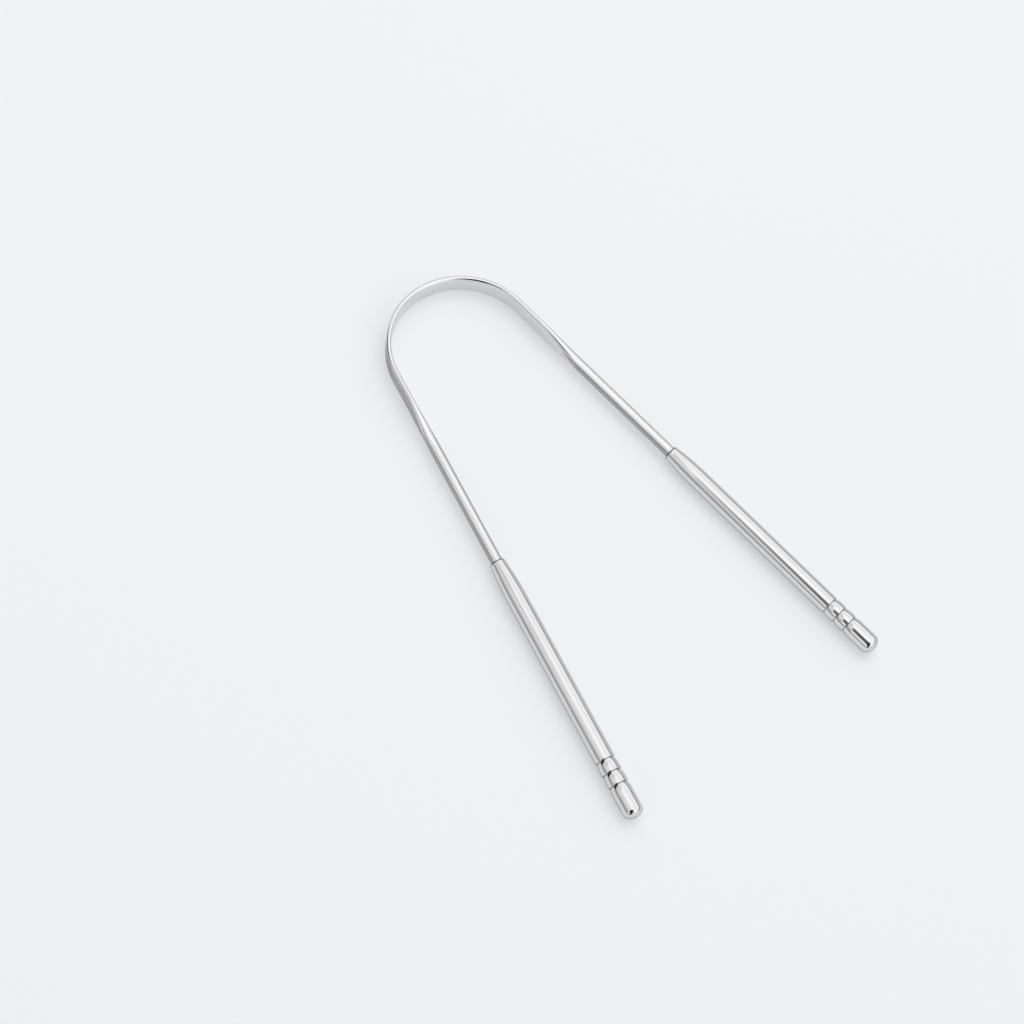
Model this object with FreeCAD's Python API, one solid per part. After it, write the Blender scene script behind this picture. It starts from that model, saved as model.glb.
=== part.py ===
import FreeCAD, Part
import math
import os

# A two-handled tongue scraper, lying flat. Millimetres and degrees.
# +Z is up and +Y points along the middle line to the crown of the bow. The origin is under the
# middle of the part, at the height of its lowest edge.

# Bow: one round wire, pressed flat on edge round the crown to make the blade
wire_diameter = 2.9
blade_width = 5.65            # height of the upright blade
blade_thickness = 1.2         # pressing keeps the area of the wire's section
edge_bulge = 0.38             # how far the rounded edges stand out past the flat faces
bow_radius = 19.2             # to the middle of the blade's thickness
leg_splay = 8.25              # how far each leg leans out from the middle line
blade_run = 7.35              # flat blade on the straight leg, past the end of the bend
flare_length = 14.5           # where the flat blade runs out into the round wire
flare_point = 0.2             # width that the flat faces narrow to at the round wire
flare_steps = 8
wire_run = 33.0               # bare round wire up to the handle's mouth
tang_length = 16.0            # wire inside the handle
tang_chamfer = 0.3

# Handle tube: swaged down onto the wire at the mouth
handle_diameter = 5.0
tube_length = 54.5
tube_wall = 0.5
swage_gap = 0.01              # around the wire in the mouth
grip_land = 3.0               # length of the mouth's bore that holds the wire
mouth_land = 1.0              # straight stretch at the mouth, with its lip
nose_length = 9.0             # where the outside swells from the mouth to the full diameter
mouth_chamfer = 0.12          # inside edge of the mouth
lip_flat = 0.05               # flat ring left on the mouth's end face
lip_length = 0.7              # how far the rounding of the lip reaches along the outside

# Tail plug: a shank pressed into the tube, then beads and a head as thick as the tube. The tube and the
# beads end in a crisp edge, and what follows each swells from a groove with a long rounded shoulder.
bead_count = 2
bead_length = 3.2
bead_shoulder = 1.9           # length of the rounded shoulder
groove_depth = 0.35
crisp_edge = 0.2              # rounding of the tail edge of the tube and of the beads
head_length = 8.55
tail_round = 1.6              # rounding of the head's rim
tail_rise = 0.3               # how far the head's domed end stands past that rounding
shank_length = 9.0
shank_gap = 0.01              # around the shank in the tube
shank_chamfer = 0.4

# Sizes that follow from those above. Places on a handle are distances from its mouth.
wire_radius = wire_diameter / 2
handle_radius = handle_diameter / 2
bore_radius = handle_radius - tube_wall
mouth_bore = wire_radius + swage_gap
mouth_radius = mouth_bore + tube_wall
lip_inside = mouth_bore + mouth_chamfer
lip_outside = lip_inside + lip_flat
nose_end = mouth_land + nose_length
groove_floor = handle_radius - groove_depth
shoulder_round = (bead_shoulder ** 2 + groove_depth ** 2) / (2 * groove_depth)
shank_radius = bore_radius - shank_gap
shank_start = tube_length - shank_length
head_start = tube_length + bead_count * bead_length
tail_end = head_start + head_length
tail_dome = tail_round + tail_rise
cap_radius = (tail_dome ** 2 + (handle_radius - tail_round) ** 2 - tail_round ** 2) / (2 * tail_rise)
axis_height = max(blade_width, handle_diameter) / 2

# Places along a leg, as distances from the end of the bend
flare_end = blade_run + flare_length
mouth_at = flare_end + wire_run
tang_end = mouth_at + tang_length

# The bend's centre, placed so that the crown and the tails lie equally far from the origin
splay = math.radians(leg_splay)
crown_reach = bow_radius + blade_thickness / 2
tail_reach = ((mouth_at + tail_end - cap_radius) * math.cos(splay) + cap_radius
              - bow_radius * math.sin(splay))
bend_y = (tail_reach - crown_reach) / 2
upright = FreeCAD.Vector(0, 0, 1)


# A piece of one leg is made along -Y, then leaned out to its side at its distance from the bend
def lean(shape, side, from_bend=0):
    end_of_bend = FreeCAD.Vector(side * bow_radius * math.cos(splay),
                                 bend_y + bow_radius * math.sin(splay), axis_height)
    leaned_leg = FreeCAD.Placement(end_of_bend, FreeCAD.Rotation(upright, side * leg_splay))
    along_leg = FreeCAD.Placement(FreeCAD.Vector(0, -from_bend, 0), FreeCAD.Rotation())
    leaned = shape.copy()
    leaned.Placement = leaned_leg * along_leg
    return leaned


def arc(start, middle, end):
    return Part.Arc(start, middle, end).toShape()


# Outlines of the turned pieces are drawn by distance along the leg and radius
def at(distance, radius):
    return FreeCAD.Vector(radius, -distance, 0)


def straights(*points):
    return Part.makePolygon(points).Edges


# A curve that leaves its start towards the corner and comes into its end from the corner
def swell(start, corner, end):
    curve = Part.BezierCurve()
    curve.setPoles([start, corner, end])
    return curve.toShape()


def turned(outline):
    face = Part.Face(Part.Wire(outline))
    return face.revolve(FreeCAD.Vector(0, 0, 0), FreeCAD.Vector(0, 1, 0), 360)


# The rim at the tail end of the tube or of a bead
def crisp_rim(end):
    cut = crisp_edge * (1 - math.sqrt(0.5))
    return arc(at(end - crisp_edge, handle_radius), at(end - cut, handle_radius - cut),
               at(end, handle_radius - crisp_edge))


# The bow's section: two faces joined by two bulging edges. The faces are flat on the blade, and
# bulge to the full circle where they have run out into the wire.
def bow_section(distance, half_thickness, half_face, half_width, face_bulge=0):
    def corner(x, z):
        return FreeCAD.Vector(x, -distance, z)

    def face_edge(start, end, crest):
        return arc(start, crest, end) if face_bulge else Part.makeLine(start, end)

    inner_low = corner(-half_thickness, -half_face)
    inner_high = corner(-half_thickness, half_face)
    outer_high = corner(half_thickness, half_face)
    outer_low = corner(half_thickness, -half_face)
    return Part.Wire([face_edge(inner_low, inner_high, corner(-half_thickness - face_bulge, 0)),
                      arc(inner_high, corner(0, half_width), outer_high),
                      face_edge(outer_high, outer_low, corner(half_thickness + face_bulge, 0)),
                      arc(outer_low, corner(0, -half_width), inner_low)])


# Along the flare the blade thickens and loses height until its faces are only points on the wire
def flare_section(share):
    eased = share * share * (3 - 2 * share)
    half_thickness = blade_thickness / 2 + (wire_radius - blade_thickness / 2) * eased
    half_width = blade_width / 2 + (wire_radius - blade_width / 2) * eased
    blade_edge_form = edge_bulge / (blade_thickness / 2)
    edge_form = blade_edge_form + (1 - blade_edge_form) * share
    half_face = half_width - edge_form * half_thickness
    return bow_section(blade_run + flare_length * share, half_thickness, half_face, half_width)


def wire_section():
    half_face = flare_point / 2
    half_thickness = math.sqrt(wire_radius ** 2 - half_face ** 2)
    return bow_section(flare_end, half_thickness, half_face, wire_radius, wire_radius - half_thickness)


def make_bow():
    half_width = blade_width / 2
    blade_end = Part.Face(bow_section(0, blade_thickness / 2, half_width - edge_bulge, half_width))
    crown = lean(blade_end, 1).revolve(FreeCAD.Vector(0, bend_y, 0), upright, 180 - 2 * leg_splay)
    straight_blade = blade_end.extrude(FreeCAD.Vector(0, -blade_run, 0))
    flare_sections = [flare_section(step / flare_steps) for step in range(flare_steps)] + [wire_section()]
    flare = Part.makeLoft(flare_sections, True)
    wire = turned(straights(at(flare_end, 0), at(flare_end, wire_radius),
                            at(tang_end - tang_chamfer, wire_radius),
                            at(tang_end, wire_radius - tang_chamfer),
                            at(tang_end, 0), at(flare_end, 0)))
    legs = [lean(piece, side) for side in (-1, 1) for piece in (straight_blade, flare, wire)]
    return crown.fuse(legs).removeSplitter().Solids[0]


def make_tube():
    lip = swell(at(0, lip_outside), at(0, mouth_radius), at(lip_length, mouth_radius))
    nose = swell(at(mouth_land, mouth_radius), at(mouth_land + nose_length / 2, handle_radius),
                 at(nose_end, handle_radius))
    outside = [lip] + straights(at(lip_length, mouth_radius), at(mouth_land, mouth_radius))
    outside += [nose] + straights(at(nose_end, handle_radius), at(tube_length - crisp_edge, handle_radius))
    outside += [crisp_rim(tube_length)]
    inside = straights(at(tube_length, handle_radius - crisp_edge), at(tube_length, bore_radius),
                       at(nose_end, bore_radius), at(grip_land, mouth_bore),
                       at(mouth_chamfer, mouth_bore), at(0, lip_inside), at(0, lip_outside))
    return turned(outside + inside)


# A bead or the head rises from the groove at its start to the full diameter
def shouldered(start, full_end):
    half_turn = math.asin(bead_shoulder / shoulder_round) / 2
    shoulder = arc(at(start, groove_floor),
                   at(start + bead_shoulder - shoulder_round * math.sin(half_turn),
                      handle_radius - shoulder_round * (1 - math.cos(half_turn))),
                   at(start + bead_shoulder, handle_radius))
    return [shoulder] + straights(at(start + bead_shoulder, handle_radius), at(full_end, handle_radius))


# The head's end: its rim is rounded into a flat dome
def dome():
    def on_rim(turn):
        return at(tail_end - tail_dome + tail_round * math.cos(turn),
                  handle_radius - tail_round * (1 - math.sin(turn)))

    def on_cap(turn):
        return at(tail_end - cap_radius * (1 - math.cos(turn)), cap_radius * math.sin(turn))

    side_turn = math.pi / 2
    cap_turn = math.asin((handle_radius - tail_round) / (cap_radius - tail_round))
    return [arc(on_rim(side_turn), on_rim((side_turn + cap_turn) / 2), on_rim(cap_turn)),
            arc(on_cap(cap_turn), on_cap(cap_turn / 2), on_cap(0))]


def make_plug():
    outline = straights(at(shank_start, 0), at(shank_start, shank_radius - shank_chamfer),
                        at(shank_start + shank_chamfer, shank_radius), at(tube_length, shank_radius),
                        at(tube_length, groove_floor))
    for count in range(bead_count):
        start = tube_length + count * bead_length
        end = start + bead_length
        outline += shouldered(start, end - crisp_edge) + [crisp_rim(end)]
        outline += straights(at(end, handle_radius - crisp_edge), at(end, groove_floor))
    outline += shouldered(head_start, tail_end - tail_dome) + dome()
    outline += straights(at(tail_end, 0), at(shank_start, 0))
    return turned(outline)


tube = make_tube()
plug = make_plug()
pieces = {"scraper_bow": make_bow(),
          "left_handle_tube": lean(tube, -1, mouth_at), "left_tail_plug": lean(plug, -1, mouth_at),
          "right_handle_tube": lean(tube, 1, mouth_at), "right_tail_plug": lean(plug, 1, mouth_at)}

os.makedirs("parts", exist_ok=True)
for node, piece in pieces.items():
    piece.exportStep(f"parts/{node}.step")
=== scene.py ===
import math

import bmesh
import bpy
from mathutils import Matrix, Vector


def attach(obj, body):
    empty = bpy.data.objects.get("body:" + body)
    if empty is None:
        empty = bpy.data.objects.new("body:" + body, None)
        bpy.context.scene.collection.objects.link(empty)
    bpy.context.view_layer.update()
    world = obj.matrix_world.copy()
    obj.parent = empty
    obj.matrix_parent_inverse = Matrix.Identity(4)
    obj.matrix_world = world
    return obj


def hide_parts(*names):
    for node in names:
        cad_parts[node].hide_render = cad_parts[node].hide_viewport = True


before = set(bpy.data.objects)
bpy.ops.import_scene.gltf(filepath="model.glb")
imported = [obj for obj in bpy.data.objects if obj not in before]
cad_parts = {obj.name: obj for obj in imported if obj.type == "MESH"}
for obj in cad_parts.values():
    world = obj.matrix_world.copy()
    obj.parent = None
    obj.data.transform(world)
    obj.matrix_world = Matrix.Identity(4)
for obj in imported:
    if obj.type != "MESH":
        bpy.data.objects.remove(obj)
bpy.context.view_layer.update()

# Bow: one length of round stainless wire, bent to a U. Round the crown it is pressed flat on edge to
# make the scraping blade, which runs out into the round wire along a flare on each leg. The ends of
# the wire are tangs that sit inside the handles.
mm = 0.001
wire_radius = 1.45 * mm
blade_half_thickness = 0.6 * mm
blade_half_width = 2.825 * mm
edge_bulge = 0.38 * mm
bow_radius = 19.2 * mm
leg_splay = math.radians(8.25)
blade_run = 7.35 * mm
flare_length = 14.5 * mm
flare_half_point = 0.1 * mm
wire_run = 33.0 * mm
tang_length = 16.0 * mm
tang_chamfer = 0.3 * mm
corner_softening = 0.06 * mm
bend_middle_y = 50.245 * mm
axis_height = 2.825 * mm
crown_steps = 56
flare_rings = 28
edge_steps = 20
past_the_leg = 0.001 * mm
mirror_weld = 0.005 * mm
bow_weld = 0.002 * mm
seam_posts = 2
mouth_at = blade_run + flare_length + wire_run
crown_turn = math.pi / 2 - leg_splay
half_crown = bow_radius * crown_turn


# Points round the pressed wire: up the outer face, over the rounded upper edge, down the inner face
# and back under the rounded lower edge
def pressed_outline(half_thickness, half_face, half_width):
    rise = half_width - half_face
    edge_radius = (half_thickness ** 2 + rise ** 2) / (2 * rise)
    edge_turn = 2 * math.atan(rise / half_thickness)
    near_corner = half_face - min(corner_softening, half_face / 3)
    face = [(half_thickness, height) for height in (-near_corner, 0, near_corner)]
    turns = [edge_turn * (1 - 2 * step / edge_steps) for step in range(edge_steps + 1)]
    edge = [(edge_radius * math.sin(turn), half_width - edge_radius * (1 - math.cos(turn)))
            for turn in turns]
    half_way = face + edge
    return half_way + [(-across, -height) for across, height in half_way]


# Along the flare the blade thickens and loses height until its faces are only points on the wire
def flare_outline(share):
    eased = share * share * (3 - 2 * share)
    wire_half_thickness = math.sqrt(wire_radius ** 2 - flare_half_point ** 2)
    half_thickness = blade_half_thickness + (wire_half_thickness - blade_half_thickness) * eased
    half_width = blade_half_width + (wire_radius - blade_half_width) * eased
    blade_edge_form = edge_bulge / blade_half_thickness
    edge_form = blade_edge_form + (1 - blade_edge_form) * share
    half_face = max(half_width - edge_form * half_thickness, flare_half_point)
    return pressed_outline(half_thickness, half_face, half_width)


bow_form = bmesh.new()
post = bow_form.verts.layers.int.new("post")
reach = bow_form.verts.layers.float.new("reach")
pressed = bow_form.verts.layers.float.new("pressed")
inside = bow_form.verts.layers.float.new("inside")

# A pressed face takes its own three posts and the first post of the edge on either side
face_posts = range(-1, 4)
blade_outline = flare_outline(0)
posts = len(blade_outline)
outer_face = [number % posts for number in face_posts]
inner_face = [posts // 2 + number for number in face_posts]
first_ring = []
for number, (across, height) in enumerate(blade_outline):
    corner = bow_form.verts.new((across, 0, height))
    corner[post] = number
    corner[reach] = half_crown
    corner[pressed] = 1.0 if number in outer_face + inner_face else 0.0
    corner[inside] = 1.0 if number in inner_face else 0.0
    first_ring.append(corner)
blade_ring = [bow_form.edges.new((first_ring[number - 1], first_ring[number])) for number in range(posts)]


# Each next ring is drawn out of the last one and pressed to its own outline
def draw_out(ring, distance, outline, satin):
    drawn = bmesh.ops.extrude_edge_only(bow_form, edges=ring)["geom"]
    for corner in (piece for piece in drawn if isinstance(piece, bmesh.types.BMVert)):
        across, height = outline[corner[post]]
        corner.co = (across, -distance, height)
        corner[reach] = half_crown + distance
        corner[pressed] *= satin
    return [piece for piece in drawn if isinstance(piece, bmesh.types.BMEdge)]


wire_outline = flare_outline(1)
tip_share = 1 - tang_chamfer / wire_radius
tang_tip = [(across * tip_share, height * tip_share) for across, height in wire_outline]
ring = draw_out(blade_ring, blade_run, blade_outline, 1)
for number in range(1, flare_rings + 1):
    share = number / flare_rings
    satin = 1 if number < flare_rings else 0
    ring = draw_out(ring, blade_run + flare_length * share, flare_outline(share), satin)
ring = draw_out(ring, mouth_at, wire_outline, 0)
ring = draw_out(ring, mouth_at + tang_length - tang_chamfer, wire_outline, 0)
ring = draw_out(ring, mouth_at + tang_length, tang_tip, 0)
bmesh.ops.holes_fill(bow_form, edges=ring, sides=0)

# The crown is the blade's ring swept round the bend, to the middle line where the other half meets it
bmesh.ops.spin(bow_form, geom=blade_ring, cent=(-bow_radius, 0, 0), axis=(0, 0, 1), angle=crown_turn,
               steps=crown_steps, use_merge=False)
for corner in bow_form.verts:
    if corner.co.y > past_the_leg:
        turn = math.atan2(corner.co.y, corner.co.x + bow_radius)
        corner[reach] = half_crown - bow_radius * turn


# A leg is made along -Y from the end of the bend, then leaned out to its side
def leg_frame(side):
    end_of_bend = Vector((side * bow_radius * math.cos(leg_splay),
                          bend_middle_y + bow_radius * math.sin(leg_splay), axis_height))
    return Matrix.Translation(end_of_bend) @ Matrix.Rotation(side * leg_splay, 4, "Z")


bmesh.ops.transform(bow_form, verts=bow_form.verts, matrix=leg_frame(1))
bmesh.ops.mirror(bow_form, geom=bow_form.verts[:] + bow_form.edges[:] + bow_form.faces[:],
                 matrix=Matrix.Identity(4), merge_dist=mirror_weld, axis="X")
bmesh.ops.remove_doubles(bow_form, verts=bow_form.verts, dist=bow_weld)
bmesh.ops.recalc_face_normals(bow_form, faces=bow_form.faces)

# The map runs lengthwise from the middle of the crown, in millimetres, and once round the wire. Faces
# between the last post and the first count on past the last.
lengthwise = bow_form.loops.layers.uv.new("lengthwise")
for face in bow_form.faces:
    side = 1 if face.calc_center_median().x > 0 else -1
    numbers = [corner[post] for corner in face.verts]
    wraps = max(numbers) - min(numbers) > seam_posts
    for loop in face.loops:
        number = loop.vert[post]
        number += posts if wraps and number < seam_posts else 0
        loop[lengthwise].uv = (number / posts, side * loop.vert[reach] / mm)

crease_angle = math.radians(40)


def piece_from(form, name):
    mesh = bpy.data.meshes.new(name)
    form.to_mesh(mesh)
    form.free()
    mesh.shade_smooth()
    mesh.set_sharp_from_angle(angle=crease_angle)
    piece = bpy.data.objects.new(name, mesh)
    bpy.context.scene.collection.objects.link(piece)
    return piece


def add_node(finish, kind, inputs, **settings):
    made = finish.node_tree.nodes.new("ShaderNode" + kind)
    for name, value in settings.items():
        setattr(made, name, value)
    for socket, value in inputs.items():
        if isinstance(value, bpy.types.NodeSocket):
            finish.node_tree.links.new(value, made.inputs[socket])
        else:
            made.inputs[socket].default_value = value
    return made


def new_finish(name):
    finish = bpy.data.materials.new(name)
    finish.use_nodes = True
    finish.node_tree.nodes.clear()
    return finish


def show(finish, shader):
    add_node(finish, "OutputMaterial", {"Surface": shader.outputs["BSDF"]})


def stretched(finish, place, stretch):
    return add_node(finish, "VectorMath", {0: place, 1: stretch}, operation="MULTIPLY").outputs["Vector"]


def noise(finish, place, scale, detail, roughness):
    return add_node(finish, "TexNoise", {"Vector": place, "Scale": scale, "Detail": detail,
                                         "Roughness": roughness}).outputs["Fac"]


# A noise, which mostly stays between its low and its high, spread over a range of values
noise_low = 0.3
noise_high = 0.7


def spread(finish, pattern, low, high):
    return add_node(finish, "MapRange", {"Value": pattern, "From Min": noise_low, "From Max": noise_high,
                                         "To Min": low, "To Max": high}).outputs["Result"]


def blend(finish, share, first, second):
    return add_node(finish, "Mix", {"Factor": share, "A": first, "B": second},
                    data_type="FLOAT").outputs["Result"]


# Bow steel: the drawn wire has fine lengthwise lines, and painted shade darkens its sides, standing for
# dark reflections there. The pressed faces are satin, with a bright grain inside the bow and streaks of the
# press outside.
drawn_stretch = (70.0, 0.12, 0.0)
streak_stretch = (140.0, 0.18, 0.0)
# The wire's sides, nearer its axis than these heights, are darkened with painted shade
side_shade_fades_from = 0.5 * wire_radius
side_shade_gone_at = 0.86 * wire_radius
wire_painted_shade_tones = (0.36, 0.50)
wire_unshaded_tones = (0.74, 0.88)
wire_roughness = (0.06, 0.14)
outer_face_tones = (0.66, 0.92)
inner_face_tones = (0.70, 0.88)
face_roughness = (0.28, 0.38)
grey_rim = 0.4
white_rim = 1.0

bow_steel = new_finish("bow_steel")
along_bow = add_node(bow_steel, "UVMap", {}, uv_map="lengthwise").outputs["UV"]
in_place = add_node(bow_steel, "TexCoord", {}).outputs["Object"]
drawn_lines = noise(bow_steel, stretched(bow_steel, along_bow, drawn_stretch), scale=1.0, detail=4.0,
                    roughness=0.65)
streaks = noise(bow_steel, stretched(bow_steel, along_bow, streak_stretch), scale=1.0, detail=2.0,
                roughness=0.6)
grain = noise(bow_steel, in_place, scale=2400.0, detail=2.0, roughness=0.7)
cloudy = noise(bow_steel, in_place, scale=260.0, detail=2.0, roughness=0.5)
satin_share = add_node(bow_steel, "Attribute", {}, attribute_name="pressed").outputs["Fac"]
inner_share = add_node(bow_steel, "Attribute", {}, attribute_name="inside").outputs["Fac"]
from_axis = add_node(bow_steel, "VectorMath", {0: in_place, 1: (0, 0, axis_height)},
                     operation="SUBTRACT").outputs["Vector"]
rise_or_fall = add_node(bow_steel, "SeparateXYZ", {0: from_axis}).outputs["Z"]
over_or_under = add_node(bow_steel, "Math", {0: rise_or_fall}, operation="ABSOLUTE").outputs["Value"]
# Painted shade: the wire's sides, near the height of its axis, take darker tones than over and under it
clear_of_side_shade = add_node(bow_steel, "MapRange", {"Value": over_or_under, "From Min": side_shade_fades_from,
                                          "From Max": side_shade_gone_at, "To Min": 0.0, "To Max": 1.0},
                  interpolation_type="SMOOTHSTEP").outputs["Result"]
wire_tone = blend(bow_steel, clear_of_side_shade, spread(bow_steel, drawn_lines, *wire_painted_shade_tones),
                  spread(bow_steel, drawn_lines, *wire_unshaded_tones))
face_tone = blend(bow_steel, inner_share, spread(bow_steel, streaks, *outer_face_tones),
                  spread(bow_steel, grain, *inner_face_tones))
bow_tone = blend(bow_steel, satin_share, wire_tone, face_tone)
bow_gloss = blend(bow_steel, satin_share, spread(bow_steel, drawn_lines, *wire_roughness),
                  spread(bow_steel, cloudy, *face_roughness))
face_rim = blend(bow_steel, inner_share, grey_rim, white_rim)
bow_rim = blend(bow_steel, satin_share, grey_rim, face_rim)
relief = blend(bow_steel, satin_share, drawn_lines, grain)
fine_bump = add_node(bow_steel, "Bump", {"Strength": 0.12, "Distance": 0.02 * mm, "Height": relief})
show(bow_steel, add_node(bow_steel, "BsdfPrincipled", {
    "Base Color": bow_tone, "Metallic": 1.0, "Roughness": bow_gloss, "Specular Tint": bow_rim,
    "Normal": fine_bump.outputs["Normal"]}))

bow = piece_from(bow_form, "bow")
bow.data.materials.append(bow_steel)
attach(bow, "root")
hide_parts("scraper_bow")


# Handle tubes: thin stainless tube, one on each leg. Each is swaged down onto the wire at its mouth,
# where it ends in a rounded lip, and is cut off with a crisp edge at its tail.
handle_radius = 2.5 * mm
tube_length = 54.5 * mm
tube_wall = 0.5 * mm
swage_gap = 0.01 * mm
mouth_land = 1.0 * mm
nose_length = 9.0 * mm
grip_land = 3.0 * mm
mouth_chamfer = 0.12 * mm
lip_flat = 0.05 * mm
lip_length = 0.7 * mm
crisp_edge = 0.2 * mm
before_edge = 0.3 * mm
turn_steps = 128
lip_steps = 8
nose_steps = 24
crisp_steps = 5
turned_weld = 0.0005 * mm
mouth_bore = wire_radius + swage_gap
mouth_radius = mouth_bore + tube_wall
bore_radius = handle_radius - tube_wall
nose_end = mouth_land + nose_length


# A turned piece is drawn as corners: distance from the mouth, radius, how much the corner is rounded
# and in how many steps. The corners are spun round the leg's axis, and then each is rounded.
def turned_form(corners):
    form = bmesh.new()
    rounding = form.verts.layers.int.new("corner")
    outline = []
    for number, (distance, radius, size, steps) in enumerate(corners):
        corner = form.verts.new((radius, -distance, 0))
        corner[rounding] = number
        outline.append(corner)
    edges = [form.edges.new((outline[number - 1], outline[number])) for number in range(len(corners))]
    edges = [edge for edge in edges if max(abs(corner.co.x) for corner in edge.verts) > 0]
    bmesh.ops.spin(form, geom=outline + edges, cent=(0, 0, 0), axis=(0, 1, 0), angle=2 * math.pi,
                   steps=turn_steps, use_merge=True)
    bmesh.ops.remove_doubles(form, verts=form.verts, dist=turned_weld)
    for number, (distance, radius, size, steps) in enumerate(corners):
        if size:
            circle = [edge for edge in form.edges
                      if all(corner[rounding] == number for corner in edge.verts)]
            bmesh.ops.bevel(form, geom=circle, offset=size, offset_type="OFFSET", segments=steps,
                            profile=0.5, affect="EDGES", material=-1)
    bmesh.ops.recalc_face_normals(form, faces=form.faces)
    return form


# Puts a turned piece on its leg, and says where the handle's mouth is
def on_leg(form, side):
    leg = leg_frame(side)
    bmesh.ops.transform(form, verts=form.verts, matrix=leg @ Matrix.Translation((0, -mouth_at, 0)))
    return leg @ Vector((0, -mouth_at, 0))


# A curve that leaves its start towards the corner and comes into its end from the corner
def swell(start, corner, end, steps):
    start, corner, end = Vector(start), Vector(corner), Vector(end)
    shares = [step / steps for step in range(steps + 1)]
    points = [start.lerp(corner, share).lerp(corner.lerp(end, share), share) for share in shares]
    return [(distance, radius, 0, 0) for distance, radius in points]


lip = swell((0, mouth_bore + mouth_chamfer + lip_flat), (0, mouth_radius), (lip_length, mouth_radius),
            lip_steps)
nose = swell((mouth_land, mouth_radius), (mouth_land + nose_length / 2, handle_radius),
             (nose_end, handle_radius), nose_steps)
tube_corners = [*lip, *nose, (tube_length - before_edge, handle_radius, 0, 0),
                (tube_length, handle_radius, crisp_edge, crisp_steps), (tube_length, bore_radius, 0, 0),
                (nose_end, bore_radius, 0, 0), (grip_land, mouth_bore, 0, 0),
                (mouth_chamfer, mouth_bore, 0, 0), (0, mouth_bore + mouth_chamfer, 0, 0)]

# Handle steel: drawn and polished lengthwise. Where painted shade darkens the lip round a mouth or the
# floor of a groove, an attribute says how much.
handle_stretch = (5200.0, 45.0, 5200.0)
cloudy_share = 0.25
handle_tones = (0.69, 0.80)
painted_shade_tone = 0.12
handle_rim = (0.5, 0.5, 0.5, 1.0)
tube_roughness = (0.06, 0.14)
mouth_shade_width = 0.3 * mm


def handle_steel(name, mouth_place, side, roughness):
    finish = new_finish(name)
    in_place = add_node(finish, "TexCoord", {}).outputs["Object"]
    leg_place = add_node(finish, "Mapping", {"Vector": in_place, "Location": mouth_place,
                                             "Rotation": (0, 0, side * leg_splay)},
                         vector_type="TEXTURE").outputs["Vector"]
    drawn_lines = noise(finish, stretched(finish, leg_place, handle_stretch), scale=1.0, detail=4.0,
                        roughness=0.65)
    cloudy = noise(finish, in_place, scale=180.0, detail=3.0, roughness=0.5)
    worn = blend(finish, cloudy_share, drawn_lines, cloudy)
    painted_shade = add_node(finish, "Attribute", {}, attribute_name="painted_shade").outputs["Fac"]
    # Painted shade: the attribute blends the steel towards a dark tone on a mouth's lip and in the grooves
    tone = blend(finish, painted_shade, spread(finish, worn, *handle_tones), painted_shade_tone)
    relief = add_node(finish, "Bump", {"Strength": 0.06, "Distance": 0.02 * mm, "Height": drawn_lines})
    show(finish, add_node(finish, "BsdfPrincipled", {
        "Base Color": tone, "Metallic": 1.0, "Roughness": spread(finish, worn, *roughness),
        "Specular Tint": handle_rim, "Normal": relief.outputs["Normal"]}))
    return finish


for side, word in ((-1, "left"), (1, "right")):
    tube_form = turned_form(tube_corners)
    painted_shade = tube_form.verts.layers.float.new("painted_shade")
    # Painted shade on the lip at the handle's mouth, where the tube meets the wire
    for corner in tube_form.verts:
        corner[painted_shade] = 1.0 if -corner.co.y < mouth_shade_width else 0.0
    mouth_place = on_leg(tube_form, side)
    tube = piece_from(tube_form, word + "_tube")
    tube.data.materials.append(handle_steel(word + "_tube_steel", mouth_place, side, tube_roughness))
    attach(tube, "root")
    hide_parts(word + "_handle_tube")


# Tail plugs: turned from stainless bar and polished bright. A shank is pressed into the tube's tail, and
# outside it two beads and a domed head each swell from a groove to the tube's own thickness.
bead_length = 3.2 * mm
bead_shoulder = 1.9 * mm
groove_depth = 0.35 * mm
head_length = 8.55 * mm
tail_round = 1.6 * mm
tail_rise = 0.3 * mm
shank_length = 9.0 * mm
shank_gap = 0.01 * mm
shank_chamfer = 0.4 * mm
shoulder_steps = 12
dome_steps = 14
plug_roughness = (0.03, 0.07)
# How far painted shade darkens the grooves, and where it starts and ends round each one
groove_shade = 0.36
shade_before_groove = 0.02 * mm
shade_after_groove = 0.2 * mm
shoulder_round = (bead_shoulder ** 2 + groove_depth ** 2) / (2 * groove_depth)
shoulder_turn = math.asin(bead_shoulder / shoulder_round)
shank_radius = bore_radius - shank_gap
shank_start = tube_length - shank_length
groove_places = [tube_length, tube_length + bead_length, tube_length + 2 * bead_length]
tail_end = groove_places[2] + head_length
tail_dome = tail_round + tail_rise
cap_radius = (tail_dome ** 2 + (handle_radius - tail_round) ** 2 - tail_round ** 2) / (2 * tail_rise)
cap_turn = math.asin((handle_radius - tail_round) / (cap_radius - tail_round))


# A bead or the head rises from the groove at its start to the full thickness
def shoulder_corners(place):
    turns = [shoulder_turn * (1 - step / shoulder_steps) for step in range(shoulder_steps + 1)]
    return [(place + bead_shoulder - shoulder_round * math.sin(turn),
             handle_radius - shoulder_round * (1 - math.cos(turn)), 0, 0) for turn in turns]


# The head's rim is rounded into a flat dome
def dome_corners():
    shares = [step / dome_steps for step in range(dome_steps + 1)]
    rim_turns = [math.pi / 2 + (cap_turn - math.pi / 2) * share for share in shares]
    rim = [(tail_end - tail_dome + tail_round * math.cos(turn),
            handle_radius - tail_round * (1 - math.sin(turn)), 0, 0) for turn in rim_turns]
    cap_turns = [cap_turn * (1 - share) for share in shares[1:]]
    cap = [(tail_end - cap_radius * (1 - math.cos(turn)), cap_radius * math.sin(turn), 0, 0)
           for turn in cap_turns]
    return rim + cap


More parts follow.
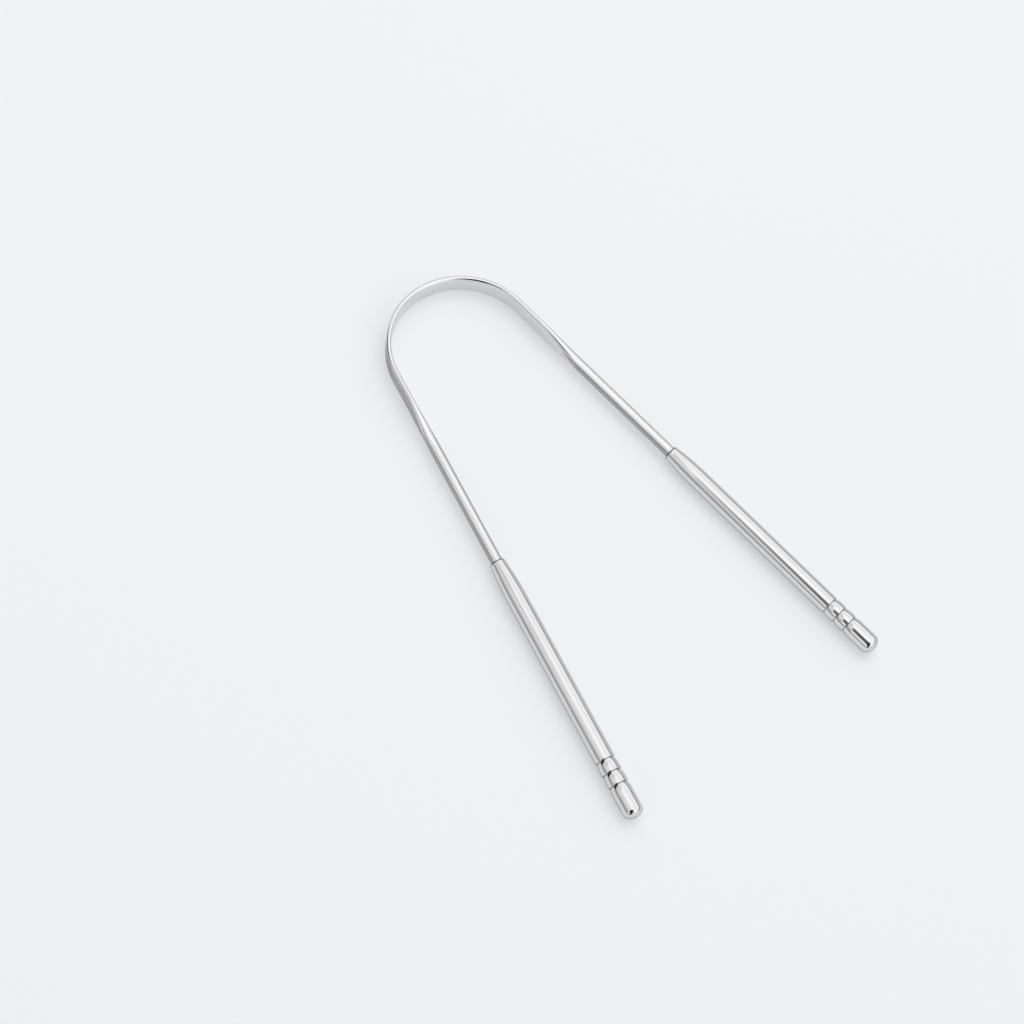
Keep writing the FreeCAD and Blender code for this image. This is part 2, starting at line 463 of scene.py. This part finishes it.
plug_corners = [(shank_start, 0, 0, 0), (shank_start, shank_radius - shank_chamfer, 0, 0),
                (shank_start + shank_chamfer, shank_radius, 0, 0), (tube_length, shank_radius, 0, 0)]
for place in groove_places[:2]:
    bead_end = place + bead_length
    plug_corners += [*shoulder_corners(place), (bead_end - before_edge, handle_radius, 0, 0),
                     (bead_end, handle_radius, crisp_edge, crisp_steps)]
plug_corners += [*shoulder_corners(groove_places[2]),
                 (tail_end - tail_dome - before_edge, handle_radius, 0, 0), *dome_corners()]

for side, word in ((-1, "left"), (1, "right")):
    plug_form = turned_form(plug_corners)
    painted_shade = plug_form.verts.layers.float.new("painted_shade")
    # Painted shade down in each groove, part of the way to the dark tone
    for corner in plug_form.verts:
        in_groove = any(-shade_before_groove < -corner.co.y - place < shade_after_groove
                        for place in groove_places)
        corner[painted_shade] = groove_shade if in_groove else 0.0
    mouth_place = on_leg(plug_form, side)
    plug = piece_from(plug_form, word + "_plug")
    plug.data.materials.append(handle_steel(word + "_plug_steel", mouth_place, side, plug_roughness))
    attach(plug, "root")
    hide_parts(word + "_tail_plug")


# Floor: a wide sheet of pale card that the scraper lies on. The camera and the steel see it part lit
# from behind, which keeps the sheet pale and the scraper's shadow soft.
floor_half_width = 30.0
card_tone = (0.87, 0.875, 0.89, 1.0)
lit_from_behind = 0.5
floor_form = bmesh.new()
bmesh.ops.create_grid(floor_form, x_segments=1, y_segments=1, size=floor_half_width)
floor = piece_from(floor_form, "floor")
card = new_finish("pale_card")
matt = add_node(card, "BsdfPrincipled", {"Base Color": card_tone, "Roughness": 0.6,
                                         "Specular IOR Level": 0.1})
pale = add_node(card, "Emission", {"Color": card_tone, "Strength": 1.0})
ray = add_node(card, "LightPath", {})
seen = ray.outputs["Is Camera Ray"]
for mirrored in ("Is Glossy Ray", "Is Transmission Ray"):
    seen = add_node(card, "Math", {0: seen, 1: ray.outputs[mirrored]}, operation="MAXIMUM").outputs["Value"]
pale_share = add_node(card, "Math", {0: seen, 1: lit_from_behind}, operation="MULTIPLY").outputs["Value"]
sheet = add_node(card, "MixShader", {0: pale_share, 1: matt.outputs["BSDF"], 2: pale.outputs["Emission"]})
add_node(card, "OutputMaterial", {"Surface": sheet.outputs["Shader"]})
floor.data.materials.append(card)

# Light: a white room, brightest overhead and to the right, and dim low down above a pale skirting. It
# has pale walls behind the camera and beyond the tails, and dark corners beside them.
room_strength = 1.28
middle_blend = 0.25
skirting_top = 0.02
skirting_fade = 0.035
skirting_tone = (0.6, 0.6, 0.61, 1.0)
room = bpy.data.worlds.new("room")
room.use_nodes = True
room.node_tree.nodes.clear()
bpy.context.scene.world = room
outlook = add_node(room, "TexCoord", {}).outputs["Generated"]
parts = add_node(room, "SeparateXYZ", {0: outlook})


# Each stop is a height above the floor, in degrees, and the room's tone there
def tone_by_height(stops):
    ramp = add_node(room, "ValToRGB", {"Fac": parts.outputs["Z"]})
    ramp.color_ramp.interpolation = "CARDINAL"
    while len(ramp.color_ramp.elements) < len(stops):
        ramp.color_ramp.elements.new(0.5)
    for element, (degrees, tone) in zip(ramp.color_ramp.elements, stops):
        element.position = math.sin(math.radians(degrees))
        element.color = (tone, tone, tone, 1.0)
    return ramp.outputs["Color"]


# A round patch of the room: its bearing and height, how far from its middle it is whole and how far it
# fades, all in degrees, and its tone inside and outside
def patch(bearing, height, whole, faded, inside, outside):
    bearing, height = math.radians(bearing), math.radians(height)
    place = (math.sin(bearing) * math.cos(height), math.cos(bearing) * math.cos(height), math.sin(height))
    facing = add_node(room, "VectorMath", {0: outlook, 1: place}, operation="DOT_PRODUCT").outputs["Value"]
    return add_node(room, "MapRange", {"Value": facing, "From Min": math.cos(math.radians(faded)),
                                       "From Max": math.cos(math.radians(whole)),
                                       "To Min": outside, "To Max": inside},
                    interpolation_type="SMOOTHSTEP").outputs["Result"]


def mix_tones(share, first, second, blend_type):
    return add_node(room, "Mix", {"Factor": share, "A": first, "B": second}, data_type="RGBA",
                    blend_type=blend_type).outputs["Result"]


right_side = tone_by_height([(0, 0.18), (9, 0.26), (18, 0.60), (27, 0.78), (35, 0.87), (46, 0.87),
                             (57, 0.81), (68, 0.88), (80, 0.96), (90, 0.98)])
left_side = tone_by_height([(0, 0.28), (14, 0.32), (26, 0.44), (38, 0.62), (50, 0.70), (61, 0.72),
                            (71, 0.83), (80, 0.95), (90, 0.98)])
pale_walls = [(-106, 25, 9, 16, 0.36), (178, 20, 12, 32, 0.35)]
dark_corners = [(-118, 47, 13, 21.5, 0.2), (-116, 58, 13, 21.5, 0.2), (-138, 45, 17, 24, 0.08),
                (-30, 62, 5, 13, 0.74), (-136, 18, 10, 15, 0.1), (-37, 14, 13, 17, 0.05),
                (-23, 31, 10, 14, 0.05)]
to_the_right = add_node(room, "MapRange", {"Value": parts.outputs["X"], "From Min": -middle_blend,
                                           "From Max": middle_blend},
                        interpolation_type="SMOOTHSTEP").outputs["Result"]
room_tone = mix_tones(to_the_right, left_side, right_side, "MIX")
for pale_wall in pale_walls:
    room_tone = mix_tones(1.0, room_tone, patch(*pale_wall, 0.0), "ADD")
for dark_corner in dark_corners:
    room_tone = mix_tones(1.0, room_tone, patch(*dark_corner, 1.0), "MULTIPLY")
skirting = add_node(room, "MapRange", {"Value": parts.outputs["Z"], "From Min": skirting_top,
                                       "From Max": skirting_fade,
                                       "To Min": 1.0, "To Max": 0.0}).outputs["Result"]
room_tone = mix_tones(skirting, room_tone, skirting_tone, "MIX")
glow = add_node(room, "Background", {"Color": room_tone, "Strength": room_strength})
add_node(room, "OutputWorld", {"Surface": glow.outputs["Background"]})

# Lamp: a broad soft light over the card, to the right of the scraper
lamp_place = Vector((0.35, 0.25, 0.95))
lamp = bpy.data.objects.new("lamp", bpy.data.lights.new("lamp", "AREA"))
lamp.data.shape = "DISK"
lamp.data.size = 0.9
lamp.data.energy = 3.0
lamp.location = lamp_place
lamp.rotation_euler = lamp_place.to_track_quat("Z", "Y").to_euler()
lamp.visible_glossy = False
bpy.context.scene.collection.objects.link(lamp)

# Camera: looks down on the scraper from the left, beyond the tails
eye = bpy.data.objects.new("eye", bpy.data.cameras.new("eye"))
eye.data.sensor_width = 36.0
eye.data.lens = 64.703
eye.data.clip_start = 0.01
eye.location = (-0.159417, -0.107527, 0.411890)
eye.rotation_euler = (math.radians(23.271), math.radians(-6.7615), math.radians(-35.9639))
bpy.context.scene.collection.objects.link(eye)
bpy.context.scene.camera = eye
bpy.context.scene.view_settings.view_transform = "Standard"
